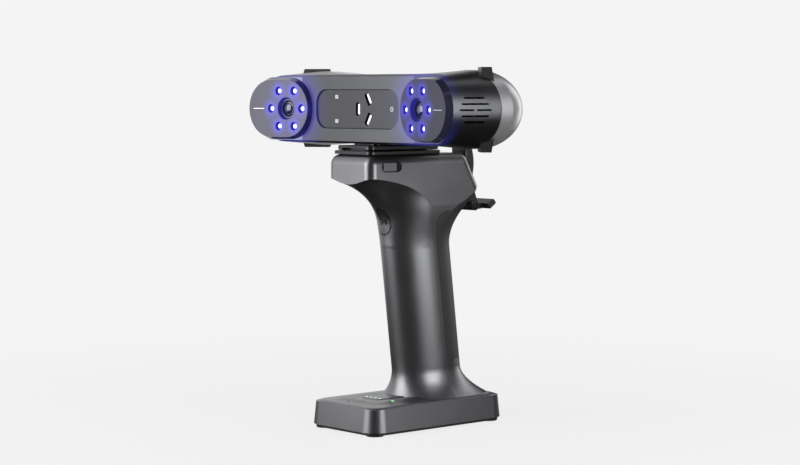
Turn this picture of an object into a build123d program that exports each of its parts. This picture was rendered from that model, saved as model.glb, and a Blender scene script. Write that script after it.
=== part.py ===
from build123d import *
from math import atan, cos, degrees, pi, radians, sin, tan
import os

os.makedirs("parts", exist_ok=True)

# A handheld scanner head on an upright battery handle with a weighted base.
# Millimetres. X to the right, -Y to the front, Z up, origin on the floor under the middle of the base.

# fits
fit_gap = 0.15  # round a piece that is pressed or glued into its pocket
move_gap = 0.3  # round a piece that moves
shaft_gap = 0.05  # radial, a shaft in its bore
key_travel = 0.6
scan_travel = 1.0
switch_size = 6.2
stem_radius = 1.0
stem_in = 0.6
board_thickness = 1.6
switch_depth = 3.6

# base
foot_proud = 1.0
foot_radius = 6.0
base_width = 68.9
base_depth = 120.6
base_height = 17.1
base_draft = 1.7
base_corner = 11.0
base_wall = 3.0
cover_thickness = 1.8
cover_inset = 1.4
base_screw_radius = 1.5
base_screw_head = 2.7
base_screw_length = 7.0
base_screw_inset = 13.0
base_screw_spread = 76.0
boss_radius = 3.6
foot_inset = 8.6
foot_sunk = 0.5
board_post = 3.6
screw_seat = 0.7
board_side_room = 7.45
board_end_room = 10.3
socket_wide = 9.0
socket_high = 3.3
socket_length = 7.5
base_top = foot_proud + base_height
base_board_width = base_width - 2 * board_side_room
base_board_depth = base_depth - 2 * board_end_room

# grip: an oval column that leans forward on its way up
grip_width = 37.0
grip_depth = 53.0
grip_lean = 6.95
grip_back_set = 18.8  # centre of the grip behind the origin, where it leaves the base
collar_height = 170.0  # where the neck reaches the collar's front lip
neck_rise = 31.5
neck_forward = 58.0
neck_start = 121.0
neck_crease = 0.0043
neck_run = 36.0
neck_round = 14.5
neck_square = 7.8
crease_end = 152.8
bulge_turn = 0.85
neck_end = 0.985
side_run = 0.5
back_run = 0.2
flare_rise = 20.0
flare_side = 12.6
flare_front = 7.0
flare_back = 12.2
flare_square = 18.0
crown_rise = 2.7

# collar: the block on top of the grip that the scanner head stands on
collar_width = 44.0
collar_front = 52.5
collar_back = 50.2
collar_top = 185.0
collar_back_top = 35.5
collar_bulge_height = 158.0
collar_front_corner = 6.0
collar_back_corner = 7.0
collar_back_round = 8.0
collar_bulge_round = 15.0

# rubber pad let into the back of the grip
pad_thickness = 2.2
pad_low = 44.0
pad_high = 149.0
pad_corner = 9.0
pad_back_set = 3.6

# scan button on the front of the grip
scan_button_height = 139.0
scan_button_long = 18.0
scan_button_wide = 13.0
scan_button_depth = 4.0
scan_board_wide = 12.0
scan_board_long = 24.0

# quick release side button
release_long = 17.0
release_high = 6.2
release_height = 176.7
release_forward = 33.6
collar_wall = 4.5
collar_low = 172.4
collar_room_side = 15.0
collar_room_front = 44.0
collar_room_back = 16.0
bolt_radius = 2.5
bolt_flange = 4.0
bolt_low = 176.0
bolt_into_plate = 1.4
release_inner = 17.0
release_ramp = 1.8
release_base_side = 19.5
release_base_front = 50.3
release_base_height = 2.3
tongue_side = 11.0
tongue_height = 1.6
plate_gap = 0.3
plate_side = 17.6
plate_front = 48.8
plate_back = 14.0
plate_thickness = 3.2
plate_corner = 4.0
boss_side = 12.0
boss_depth = 44.0
mount_screw_back = -2.0
mount_screw_radius = 3.1
mount_screw_length = 8.0
mount_screw_head = 5.0
mount_screw_head_height = 1.8
mount_screw_web = 0.8  # of the plate above the screw's head

# power button and lights on the base
power_inset = 13.8
power_forward = base_depth / 2 - power_inset
power_radius = 5.2
light_forward = 31.0
light_pitch = 4.5
light_count = 4
light_radius = 1.0
link_light_side = 18.5
link_light_forward = 30.0
link_light_radius = 1.2

# battery
cell_radius = 9.2
cell_length = 65.2
cell_low = 52.0

# scanner head
head_over_plate = 1.1
bridge_half = 22.95
pod_half = 25.6
pod_reach = 31.0
pod_centre = 75.0
pod_front_half = 20.9
pod_front_centre = 81.5
pod_front_reach = 21.0
bridge_face = 45.5
bridge_straight = 41.0
pod_rise_to = 72.0
front_edge_bevel = 1.4
head_room_side = 92.0
head_room_half = 17.0
head_room_front = 38.0
shell_room_side = 80.0
shell_room_half = 15.0
shell_room_back = 10.0
key_room_side = 60.0
key_room_half = 8.5
key_room_back = 18.5
rim_forward = 14.0
rim_step = 5.0
back_reach = 32.0
round_slack = 0.4
case_screw_side = 62.0
case_screw_rise = 19.5
case_screw_radius = 1.4
case_screw_grip = 10.0
case_screw_head = 2.6
case_screw_seat = 9.0
main_board_front = 12.0
main_board_width = 100.0
main_post_radius = 2.6
key_post_radius = 1.6
key_board_front = 12.4
key_board_width = 46.0
key_board_height = 15.0
key_sides = (-14.0, 0.0, 14.0)
key_radius = 4.2
key_top = 23.8
socket_side = 40.0
chassis_front = 26.2
chassis_thickness = 5.0
chassis_half = 7.0
projector_width = 34.0
projector_height = 22.0
window_board_width = 78.0
window_board_height = 21.0

# camera covers, turned in towards the middle
lens_side = 67.0
lens_forward = 52.2
toe_in = 9.73
cover_radius = 19.6
cover_flare = 1.5
cover_length = 14.5
cover_height = 5.0
aperture_radius = 7.7
light_ring_radius = 13.9
ring_light_count = 6
ring_hole_radius = 3.0
board_radius = 17.0
barrel_radius = 6.6
barrel_base_radius = 8.4
barrel_length = 22.0
barrel_set_back = 2.4
barrel_base_depth = 9.0
lens_radius = 5.4
lens_depth = 2.2
ring_light_radius = 2.4
ring_light_height = 3.6
camera_board_size = 24.0

# window between the cameras
window_width = 84.8
window_height = 26.3
window_corner = 10.0
window_recess = 1.2
panel_thickness = 1.5
slot_long = 8.8
slot_wide = 4.2
slot_side = 10.5
slot_rise = 6.6
slot_turn = 30.0
fill_side = 22.2
fill_rise = 8.1
fill_wide = 3.7
fill_high = 2.9
eye_side = 34.0
eye_radius = 1.9

# vents in the ends of the head
vent_thickness = 1.2
vent_pitch = 3.8
vent_middle_forward = 35.5
vent_long = 22.0
vent_short = 16.5
vent_half_slot = 12.0
vent_room_out = 101.0
vent_room_half = 9.0

# corner bumpers
bumper_proud = 1.8
bumper_length = 17.0
bumper_thickness = 6.6
bumper_turn = 36.0
bumper_side = 85.4
bumper_forward = 9.4

# phone clamp behind the collar
hinge_back = 53.2
hinge_height = 147.5
hinge_radius = 1.5
hinge_half = 10.5
knuckle_radius = 3.2
strap_half = 7.2
strap_front = 51.6
ear_thickness = 3.0
bracket_back = 51.2
bracket_half = 11.0
bracket_low = 150.0
bracket_high = 165.0
bracket_screw_side = 4.5
bracket_screw_height = 161.0
bracket_screw_seat = 49.9
bracket_screw_radius = 1.25
bracket_screw_head = 2.2
bracket_screw_length = 8.0
clamp_front = 46.5
clamp_back = 54.6
clamp_bow = 1.4
clamp_bow_rise = 9.0
clamp_body_low = 168.0
clamp_body_high = 206.0
jaw_half = 15.0
jaw_arm_thickness = 3.6
jaw_low_back = 69.1
jaw_high_back = 66.0
jaw_lip = 5.0
jaw_lip_drop = 4.5
jaw_top_height = 4.5
rod_radius = 1.5
rod_side = 4.3
rod_bottom = 171.0
rod_room = 170.0
spring_radius = 1.6
spring_wire = 0.5

upright = radians(grip_lean)
plate_low = collar_top + release_base_height + plate_gap
plate_high = plate_low + plate_thickness
head_middle = plate_high + head_over_plate + bridge_half
mount_screw_seat = head_middle - bridge_half - mount_screw_web
bracket_screw_spots = (
    (-bracket_screw_side, bracket_screw_height),
    (bracket_screw_side, bracket_screw_height),
)


finished = {}


def save(piece, name):
    """Keeps a finished piece until the middle of the whole footprint is known."""
    finished[name] = piece.part


def grip_axis(height):
    """How far behind the origin the grip's centre line is at a height."""
    return grip_back_set - tan(upright) * (height - base_top)


def ease(height, low, high):
    """Goes smoothly from 0 at the low height to 1 at the high one."""
    share = min(max((height - low) / (high - low), 0), 1)
    return share * share * (3 - 2 * share)


def foot_station(height, share):
    """Outline of the foot flare: height, half width, forward, straight side, back, straight back."""
    return (
        height,
        grip_width / 2 + share * flare_side,
        grip_depth / 2 + share * flare_front,
        side_run,
        grip_depth / 2 + share * flare_back,
        back_run + share * flare_square,
    )


def bulge(height):
    """How far the back of the neck has swelled at a height: slowly at first, and rounded off at the top."""
    climb = max((height - neck_start) / (collar_bulge_height - 1 - neck_start), 0)
    if climb < bulge_turn:
        return climb**2
    left = 1 - bulge_turn**2
    end = bulge_turn + left * 0.75 / bulge_turn
    return 1 - left * (max(end - climb, 0) / (end - bulge_turn)) ** 1.5


def neck_station(height):
    """The outline of the neck, which sweeps forward under the collar and swells behind it."""
    rise = max(1 - (collar_height - height) / neck_rise, 0)
    forward = neck_forward * (1 - (1 - rise**2) ** 0.5)
    widen = ease(height, neck_start, crease_end)
    swell = bulge(height)
    return (
        height,
        grip_width / 2 + (collar_width - grip_width) / 2 * widen + neck_crease * forward**2,
        grip_depth / 2 + forward,
        side_run + neck_run * swell,
        grip_depth / 2 - neck_round * swell,
        back_run + neck_square * swell,
    )


def column(stations, inset=0.0):
    """A smooth solid through oval stations, all made smaller by the inset."""
    with BuildPart() as solid:
        for height, half_width, front, run, reach, flat in stations:
            wide = half_width - inset
            back = reach - inset
            with BuildSketch(Plane((0, grip_axis(height), height))):
                with BuildLine():
                    EllipticalCenterArc((0, 0), wide, front - inset, 180, arc_size=180)
                    Line((wide, 0), (wide, run))
                    EllipticalCenterArc((flat, run), wide - flat, back, 0, arc_size=90)
                    Line((flat, run + back), (-flat, run + back))
                    EllipticalCenterArc((-flat, run), wide - flat, back, 90, arc_size=90)
                    Line((-wide, run), (-wide, 0))
                make_face()
        loft()
    return solid.part


def grip_column(inset=0.0):
    """Straight grip and neck, up to the collar."""
    arc_start = collar_height - neck_rise
    neck = [neck_station(neck_start + (arc_start - neck_start) * step / 4) for step in range(4)]
    for turn in (0.0, 0.16, 0.33, 0.5, 0.66, 0.8, 0.91, neck_end):
        neck.append(neck_station(arc_start + neck_rise * turn))
    with BuildPart() as grip:
        add(column([foot_station(base_top + flare_rise, 0), foot_station(neck_start, 0)], inset))
        add(column(neck, inset))
    return grip.part


def foot_column():
    """Crowned top of the base and the concave flare that runs up into the grip."""
    flare = []
    for turn in (1.0, 0.85, 0.66, 0.44, 0.22, 0.0):
        flare.append(foot_station(base_top + flare_rise * (1 - turn), turn**2))
    with BuildPart() as foot:
        crown_steps = (
            (0.6, -2.0),
            (0.6, 0.0),
            (6.0, 1.1),
            (12.0, 1.9),
            (18.0, 2.45),
            (24.0, crown_rise),
        )
        for inset, rise in crown_steps:
            with BuildSketch(Plane.XY.offset(base_top + rise)):
                edge = 2 * (base_draft + inset)
                RectangleRounded(base_width - edge, base_depth - edge, base_corner - 0.3 * inset)
        loft()
        add(column(flare))
    return foot.part


# ---------------------------------------------------------------- handle shells

with BuildPart() as collar_block:
    with BuildSketch(Plane.YZ):
        with BuildLine():
            Polyline(
                (-collar_front, 0),
                (-collar_front, collar_top),
                (collar_back_top, collar_top),
                (collar_back, collar_bulge_height),
                (collar_back, 0),
                close=True,
            )
        make_face()
        fillet(vertices().sort_by_distance((collar_back, collar_bulge_height))[0], collar_bulge_round)
        fillet(vertices().sort_by_distance((collar_back_top, collar_top))[0], collar_back_round)
    extrude(amount=collar_width / 2, both=True)
    fillet(edges().filter_by(Axis.Z).group_by(Axis.Y)[0], collar_front_corner)
    back_faces = faces().filter_by_position(Axis.Y, collar_back_top - 2, collar_back)
    side_edges = back_faces.edges() & faces().filter_by(Axis.X).edges()
    fillet(side_edges, collar_back_corner)
    with BuildSketch(Plane.XY):
        Rectangle(3 * collar_width, 3 * collar_front + 3 * collar_back)
    extrude(amount=collar_height - 45)

with BuildPart() as handle_outer:
    add(grip_column())
    add(foot_column())
    with BuildSketch(Plane.XY.offset(collar_height - neck_rise * (1 - neck_end))):
        Rectangle(2 * collar_width, 4 * collar_front)
    extrude(amount=collar_width)
    add(collar_block.part, mode=Mode.INTERSECT)
    with BuildSketch(Plane.XY.offset(foot_proud + cover_thickness)):
        RectangleRounded(base_width, base_depth, base_corner)
    extrude(amount=base_height - cover_thickness, taper=degrees(atan(base_draft / base_height)))


with BuildPart() as pad_zone:
    with BuildSketch(Plane.YZ):
        with BuildLine():
            Polyline(
                (3 * collar_back, pad_low - 4),
                (grip_axis(pad_low) + pad_back_set, pad_low),
                (grip_axis(pad_high) + pad_back_set, pad_high),
                (3 * collar_back, pad_high - 34),
                close=True,
            )
        make_face()
        fillet(vertices().group_by(Axis.X)[0] + vertices().group_by(Axis.X)[1], pad_corner)
    extrude(amount=grip_width, both=True)
    add(grip_column(pad_thickness), mode=Mode.SUBTRACT)

with BuildPart() as grip_pad:
    add(handle_outer.part)
    add(pad_zone.part, mode=Mode.INTERSECT)
save(grip_pad, "grip_pad")

scan_plane = Plane.XZ.offset(-grip_axis(scan_button_height))
scan_button_back = grip_depth / 2 - scan_button_depth


def scan_oval(clear, near, far):
    """Upright oval through the front wall of the grip, a clearance larger, from near to far."""
    with BuildPart() as oval:
        with BuildSketch(scan_plane.offset(near)):
            with Locations((0, scan_button_height)):
                Ellipse(scan_button_wide / 2 + clear, scan_button_long / 2 + clear)
        extrude(amount=far - near)
    return oval.part


def leaning(height, back=0.0):
    """A plane square to the grip's axis at a height, a distance behind that axis."""
    return Plane(
        origin=(0, grip_axis(height) + back, height),
        x_dir=(1, 0, 0),
        z_dir=(0, -sin(upright), cos(upright)),
    )



def flush_with_base(side, forward, radius, bottom):
    """A round pin up through the base's top, cut off flush with its crowned surface."""
    with BuildPart() as pin:
        with BuildSketch(Plane.XY.offset(bottom)):
            with Locations((side, -forward)):
                Circle(radius)
        extrude(amount=3 * base_height)
        add(handle_outer.part, mode=Mode.INTERSECT)
    return pin.part


def push_switch(plane):
    """A small square switch standing behind its plane, with a bore that takes a key's stem."""
    with BuildPart() as switch:
        with BuildSketch(plane):
            Rectangle(switch_size, switch_size)
        extrude(amount=-switch_depth)
        with BuildSketch(plane):
            Circle(stem_radius + shaft_gap)
        extrude(amount=-stem_in - 2 * key_travel, mode=Mode.SUBTRACT)
    return switch.part


def screw(plane, length, shaft, head, head_height):
    """A pan-head screw: its head stands in front of the plane and its shaft runs back from it."""
    with BuildPart() as body:
        with BuildSketch(plane):
            Circle(head)
        extrude(amount=head_height)
        fillet(faces().sort_by(Axis(plane.origin, plane.z_dir))[-1].edges(), head_height / 3)
        with BuildSketch(plane.offset(head_height)):
            RegularPolygon(head / 2, 6)
        extrude(amount=-head_height / 2, mode=Mode.SUBTRACT)
        with BuildSketch(plane):
            Circle(shaft)
        extrude(amount=-length)
    return body.part


base_ceiling = base_top - base_wall
board_low = foot_proud + cover_thickness + board_post
board_top = board_low + board_thickness
switch_front = board_top + switch_depth
button_low = switch_front + key_travel + 3 * move_gap
foot_spots = GridLocations(base_width - 2 * foot_inset, base_depth - 2 * foot_inset, 2, 2).local_locations
screw_spots = GridLocations(base_width - 2 * base_screw_inset, base_screw_spread, 2, 2).local_locations
light_sides = [light_pitch * (step - (light_count - 1) / 2) for step in range(light_count)]
scan_switch_front = scan_button_back - scan_travel - move_gap
scan_board_front = scan_switch_front - switch_depth
collar_floor = collar_top - collar_wall
socket_back = base_depth / 2 - base_draft - socket_length - 0.6
socket_plane = Plane((0, socket_back, board_top + socket_high / 2), x_dir=(1, 0, 0), z_dir=(0, 1, 0))


def release_slot(clear, inner):
    """Long round-ended slot into the collar's side, from an inner distance out past the surface."""
    with BuildPart() as slot:
        with BuildSketch(Plane.YZ.offset(inner)):
            with Locations((-release_forward, release_height)):
                SlotOverall(release_long + 2 * clear, release_high + 2 * clear)
        extrude(amount=collar_width)
    return slot.part


with BuildPart() as handle_body:
    add(handle_outer.part)
    add(pad_zone.part, mode=Mode.SUBTRACT)
    # battery bay
    with BuildSketch(leaning(cell_low)):
        Rectangle(2 * cell_radius + 2 * fit_gap, 4 * cell_radius + 3 * fit_gap)
    extrude(amount=cell_length + fit_gap, mode=Mode.SUBTRACT)
    # scan button hole, and behind it the pockets of its switch and board
    add(scan_oval(move_gap, scan_switch_front, collar_front), mode=Mode.SUBTRACT)
    with BuildSketch(scan_plane.offset(scan_board_front)):
        with Locations((0, scan_button_height)):
            Rectangle(switch_size + 2 * fit_gap, switch_size + 2 * fit_gap)
    extrude(amount=switch_depth, mode=Mode.SUBTRACT)
    with BuildSketch(scan_plane.offset(scan_board_front)):
        with Locations((0, scan_button_height)):
            Rectangle(scan_board_wide + 2 * fit_gap, scan_board_long + 2 * fit_gap)
    extrude(amount=-board_thickness - fit_gap, mode=Mode.SUBTRACT)
    # recess of the bottom cover, and the hollow above it
    with BuildSketch(Plane.XY.offset(foot_proud)):
        RectangleRounded(
            base_width - 2 * cover_inset,
            base_depth - 2 * cover_inset,
            base_corner - cover_inset,
        )
    extrude(amount=cover_thickness, mode=Mode.SUBTRACT)
    with BuildSketch(Plane.XY.offset(foot_proud)):
        hollow = 2 * (base_draft + base_wall)
        RectangleRounded(base_width - hollow, base_depth - hollow, base_corner - base_wall)
    extrude(amount=base_ceiling - foot_proud, mode=Mode.SUBTRACT)
    with BuildSketch(Plane.XY.offset(foot_proud + cover_thickness)):
        with Locations(*screw_spots):
            Circle(boss_radius)
    extrude(amount=base_ceiling - foot_proud - cover_thickness)
    with BuildSketch(Plane.XY.offset(foot_proud)):
        with Locations(*screw_spots):
            Circle(base_screw_radius)
    extrude(amount=cover_thickness + base_screw_length, mode=Mode.SUBTRACT)
    # holes in the base's top for the power button and the light pipes
    with BuildSketch(Plane.XY.offset(base_ceiling - 1)):
        with Locations((0, -power_forward)):
            Circle(power_radius + move_gap)
        with Locations(*[(side, -light_forward) for side in light_sides]):
            Circle(light_radius + fit_gap)
        with Locations((link_light_side, -link_light_forward)):
            Circle(link_light_radius + fit_gap)
    extrude(amount=base_height, mode=Mode.SUBTRACT)
    # charging socket's mouth
    with BuildSketch(socket_plane):
        SlotOverall(socket_wide + 2 * fit_gap, socket_high + 2 * fit_gap)
    extrude(amount=socket_length + base_wall, mode=Mode.SUBTRACT)
    # threads of the clamp bracket's screws
    with BuildSketch(Plane.XZ.offset(-bracket_screw_seat)):
        with Locations(*bracket_screw_spots):
            Circle(bracket_screw_radius)
    extrude(amount=bracket_screw_length, mode=Mode.SUBTRACT)
    # room for the radio board and the release parts in the collar
    with BuildSketch(Plane.XY.offset(collar_low)):
        with Locations((0, (collar_room_back - collar_room_front) / 2)):
            Rectangle(2 * collar_room_side, collar_room_front + collar_room_back)
    extrude(amount=collar_floor - collar_low, mode=Mode.SUBTRACT)
    add(release_slot(move_gap, collar_room_side - 1), mode=Mode.SUBTRACT)
    with BuildSketch(Plane.XY.offset(collar_low)):
        with Locations((0, -release_forward)):
            Circle(bolt_radius + shaft_gap)
    extrude(amount=collar_top, mode=Mode.SUBTRACT)

for name, side in (("handle_shell_left", Keep.BOTTOM), ("handle_shell_right", Keep.TOP)):
    with BuildPart() as half:
        add(handle_body.part)
        split(bisect_by=Plane.YZ, keep=side)
    save(half, name)

# ---------------------------------------------------------------- inside the grip

with BuildPart() as battery_cells:
    for back in (-cell_radius - fit_gap / 2, cell_radius + fit_gap / 2):
        with BuildSketch(leaning(cell_low)):
            with Locations((0, back)):
                Circle(cell_radius)
        extrude(amount=cell_length)
save(battery_cells, "battery_cells")

with BuildPart() as scan_button:
    add(scan_oval(0, scan_button_back, collar_front))
    add(handle_outer.part, mode=Mode.INTERSECT)
    with BuildSketch(scan_plane.offset(scan_button_back)):
        with Locations((0, scan_button_height)):
            Circle(stem_radius)
    extrude(amount=-scan_travel - move_gap - stem_in)
save(scan_button, "scan_button")

with BuildPart() as scan_switch:
    switch_spot = (0, grip_axis(scan_button_height) - scan_switch_front, scan_button_height)
    add(push_switch(Plane(switch_spot, x_dir=(1, 0, 0), z_dir=(0, -1, 0))))
save(scan_switch, "scan_switch")

with BuildPart() as scan_board:
    with BuildSketch(scan_plane.offset(scan_board_front)):
        with Locations((0, scan_button_height)):
            Rectangle(scan_board_wide, scan_board_long)
    extrude(amount=-board_thickness)
save(scan_board, "scan_board")

# ---------------------------------------------------------------- base

with BuildPart() as base_cover:
    with BuildSketch(Plane.XY.offset(foot_proud)):
        edge = 2 * (cover_inset + fit_gap)
        RectangleRounded(base_width - edge, base_depth - edge, base_corner - edge / 2)
    extrude(amount=cover_thickness)
    with BuildSketch(Plane.XY.offset(foot_proud)):
        with Locations(*foot_spots):
            Circle(foot_radius)
    extrude(amount=foot_sunk, mode=Mode.SUBTRACT)
    with BuildSketch(Plane.XY.offset(foot_proud)):
        with Locations(*screw_spots):
            Circle(base_screw_head + fit_gap)
    extrude(amount=cover_thickness - screw_seat, mode=Mode.SUBTRACT)
    with BuildSketch(Plane.XY.offset(foot_proud)):
        with Locations(*screw_spots):
            Circle(base_screw_radius + fit_gap)
    extrude(amount=cover_thickness, mode=Mode.SUBTRACT)
    with BuildSketch(Plane.XY.offset(foot_proud + cover_thickness)):
        with GridLocations(base_board_width - 8, base_board_depth - 8, 2, 2):
            Circle(2.5)
    extrude(amount=board_post)
save(base_cover, "base_cover")

with BuildPart() as base_feet:
    with BuildSketch():
        with Locations(*foot_spots):
            Circle(foot_radius - fit_gap)
    extrude(amount=foot_proud + foot_sunk)
    fillet(faces().sort_by(Axis.Z)[0:4].edges(), foot_proud / 2)
save(base_feet, "base_feet")

with BuildPart() as base_screws:
    for spot in screw_spots:
        seat = foot_proud + cover_thickness - screw_seat
        where = spot.position + Vector(0, 0, seat)
        add(
            screw(
                Plane(where, z_dir=(0, 0, -1)),
                base_screw_length,
                base_screw_radius - shaft_gap,
                base_screw_head,
                seat - foot_proud,
            )
        )
save(base_screws, "base_screws")

with BuildPart() as base_board:
    with BuildSketch(Plane.XY.offset(board_low)):
        Rectangle(base_board_width, base_board_depth)
        with Locations(*screw_spots):
            Circle(boss_radius + fit_gap, mode=Mode.SUBTRACT)
    extrude(amount=board_thickness)
save(base_board, "base_board")

with BuildPart() as power_button:
    add(flush_with_base(0, power_forward, power_radius, button_low))
    with BuildSketch(Plane.XY.offset(button_low)):
        with Locations((0, -power_forward)):
            Circle(stem_radius)
    extrude(amount=switch_front - stem_in - button_low)
save(power_button, "power_button")

with BuildPart() as power_switch:
    add(push_switch(Plane.XY.offset(switch_front).move(Location((0, -power_forward, 0)))))
save(power_switch, "power_switch")

with BuildPart() as charge_lights:
    for side in light_sides:
        add(flush_with_base(side, light_forward, light_radius, board_top))
save(charge_lights, "charge_lights")

with BuildPart() as link_light:
    add(flush_with_base(link_light_side, link_light_forward, link_light_radius, board_top))
save(link_light, "link_light")


def usb_socket(plane):
    """A small metal socket whose mouth is at the plane's front; the tongue stands in the middle."""
    with BuildPart() as socket:
        with BuildSketch(plane):
            SlotOverall(socket_wide, socket_high)
        extrude(amount=socket_length)
        with BuildSketch(plane.offset(1)):
            SlotOverall(socket_wide - 0.7, socket_high - 0.7)
        extrude(amount=socket_length, mode=Mode.SUBTRACT)
        with BuildSketch(plane.offset(1)):
            Rectangle(socket_wide - 3, 0.7)
        extrude(amount=socket_length - 2)
    return socket.part


with BuildPart() as charge_socket:
    add(usb_socket(socket_plane))
save(charge_socket, "charge_socket")

# ---------------------------------------------------------------- collar and quick release

with BuildPart() as radio_board:
    with BuildSketch(Plane.XY.offset(collar_low)):
        with Locations((0, (collar_room_back - collar_room_front) / 2)):
            Rectangle(2 * (collar_room_side - fit_gap), collar_room_front + collar_room_back - 2 * fit_gap)
        with Locations((0, -release_forward)):
            Circle(bolt_flange + move_gap, mode=Mode.SUBTRACT)
    extrude(amount=board_thickness)
save(radio_board, "radio_board")

with BuildPart() as release_button:
    add(release_slot(0, release_inner))
    with BuildSketch(Plane.XY.offset(collar_low)):
        with BuildLine():
            Polyline(
                (collar_width / 2 - release_ramp, -release_forward - release_long),
                (collar_width / 2 - release_ramp, -release_forward - release_long / 2 + release_high / 2),
                (collar_width / 2, -release_forward + release_long / 4),
                (collar_width / 2, -release_forward + release_long),
                (release_inner - 1, -release_forward + release_long),
                (release_inner - 1, -release_forward - release_long),
                close=True,
            )
        make_face()
    extrude(amount=collar_width, mode=Mode.INTERSECT)
save(release_button, "release_button")

with BuildPart() as lock_bolt:
    with BuildSketch(Plane.XY.offset(bolt_low)):
        with Locations((0, -release_forward)):
            Circle(bolt_flange)
    extrude(amount=1.5)
    with BuildSketch(Plane.XY.offset(bolt_low)):
        with Locations((0, -release_forward)):
            Circle(bolt_radius)
    extrude(amount=plate_low + bolt_into_plate - bolt_low)
    chamfer(faces().sort_by(Axis.Z)[-1].edges(), 0.4)
save(lock_bolt, "lock_bolt")

with BuildPart() as lock_spring:
    with BuildSketch(Plane.XY.offset(collar_low)):
        with Locations((0, -release_forward)):
            Circle(bolt_flange - 0.4)
            Circle(bolt_flange - 1.2, mode=Mode.SUBTRACT)
    extrude(amount=bolt_low - collar_low)
save(lock_spring, "lock_spring")

with BuildPart() as release_base:
    with BuildSketch(Plane.XY.offset(collar_top)):
        with Locations((0, (plate_back - release_base_front) / 2)):
            RectangleRounded(2 * release_base_side, release_base_front + plate_back, plate_corner)
    extrude(amount=release_base_height)
    chamfer(faces().sort_by(Axis.Z)[-1].edges(), 0.5)
    # dovetail tongue that the plate slides over
    with BuildSketch(Plane.XZ.offset(release_base_front - 6)):
        with BuildLine():
            low, high = collar_top + release_base_height, collar_top + release_base_height + tongue_height
            Polyline(
                (-tongue_side + 1, low - 0.5), (tongue_side - 1, low - 0.5), (tongue_side - 1, low),
                (tongue_side, high), (-tongue_side, high), (-tongue_side + 1, low), close=True,
            )
        make_face()
    extrude(amount=-(release_base_front + plate_back - 12))
    with BuildSketch(Plane.XY.offset(collar_top)):
        with Locations((0, -release_forward)):
            Circle(bolt_radius + shaft_gap)
    extrude(amount=collar_width, mode=Mode.SUBTRACT)
save(release_base, "release_base")

with BuildPart() as release_plate:
    with BuildSketch(Plane.XY.offset(plate_low)):
        with Locations((0, (plate_back - plate_front) / 2)):
            RectangleRounded(2 * plate_side, plate_front + plate_back, plate_corner)
    extrude(amount=plate_high - plate_low)
    chamfer(faces().sort_by(Axis.Z)[-1].edges() + faces().sort_by(Axis.Z)[0].edges(), 0.6)
    with BuildSketch(Plane.XZ.offset(release_base_front)):
        with BuildLine():
            low, high = plate_low - 0.5, collar_top + release_base_height + tongue_height + move_gap
            Polyline(
                (-tongue_side + 1 - move_gap, low), (tongue_side - 1 + move_gap, low),
                (tongue_side + move_gap, high), (-tongue_side - move_gap, high), close=True,
            )
        make_face()
    extrude(amount=-(release_base_front + plate_back), mode=Mode.SUBTRACT)
    with BuildSketch(Plane.XY.offset(plate_high)):
        with Locations((0, -(plate_front - plate_back) / 2)):
            RectangleRounded(2 * boss_side, boss_depth, 4)
    extrude(amount=head_middle - bridge_half - plate_high)
    with BuildSketch(Plane.XY.offset(plate_low)):
        with Locations((0, -release_forward)):
            Circle(bolt_radius + 2 * fit_gap)
        with Locations((0, mount_screw_back)):
            Circle(mount_screw_radius + fit_gap)
    extrude(amount=collar_width, mode=Mode.SUBTRACT)
    with BuildSketch(Plane.XY.offset(plate_low)):
        with Locations((0, mount_screw_back)):
            Circle(mount_screw_head + fit_gap)
    extrude(amount=mount_screw_seat - plate_low, mode=Mode.SUBTRACT)
save(release_plate, "release_plate")

# ---------------------------------------------------------------- scanner head

def head_outline(straight, rise_to, pod, centre, reach):
    """The head seen from the front: a straight bridge that opens out into a round-ended pod each side."""
    with BuildSketch(mode=Mode.PRIVATE) as outline:
        with BuildLine():
            Line((0, bridge_half), (straight, bridge_half))
            Line((straight, bridge_half), (rise_to, pod))
            Line((rise_to, pod), (centre, pod))
            EllipticalCenterArc((centre, 0), reach, pod, 90, arc_size=-180)
            Line((centre, -pod), (rise_to, -pod))
            Line((rise_to, -pod), (straight, -bridge_half))
            Line((straight, -bridge_half), (0, -bridge_half))
            Line((0, -bridge_half), (0, bridge_half))
        make_face()
    return outline.sketch


def cover_plane(side, depth=0.0):
    """The face of one camera cover, turned in to the middle; a depth runs back into the head."""
    turn = radians(toe_in)
    return Plane(
        origin=(side * lens_side, -lens_forward, head_middle),
        x_dir=(side * cos(turn), -sin(turn), 0),
        z_dir=(-side * sin(turn), -cos(turn), 0),
    ).offset(-depth)


front_depth = lens_forward + 12
seat_slope = tan(radians(toe_in))
seat_y = -lens_forward + cover_height / cos(radians(toe_in))


def seat_front(side):
    """Y of the camera covers' seat at a distance from the middle."""
    return seat_y - (side - lens_side) * seat_slope


fold_side = lens_side + (seat_y + bridge_face) / seat_slope
end_side = pod_centre + pod_reach + 2
pocket_depth = cover_height + board_thickness + fit_gap

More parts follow.
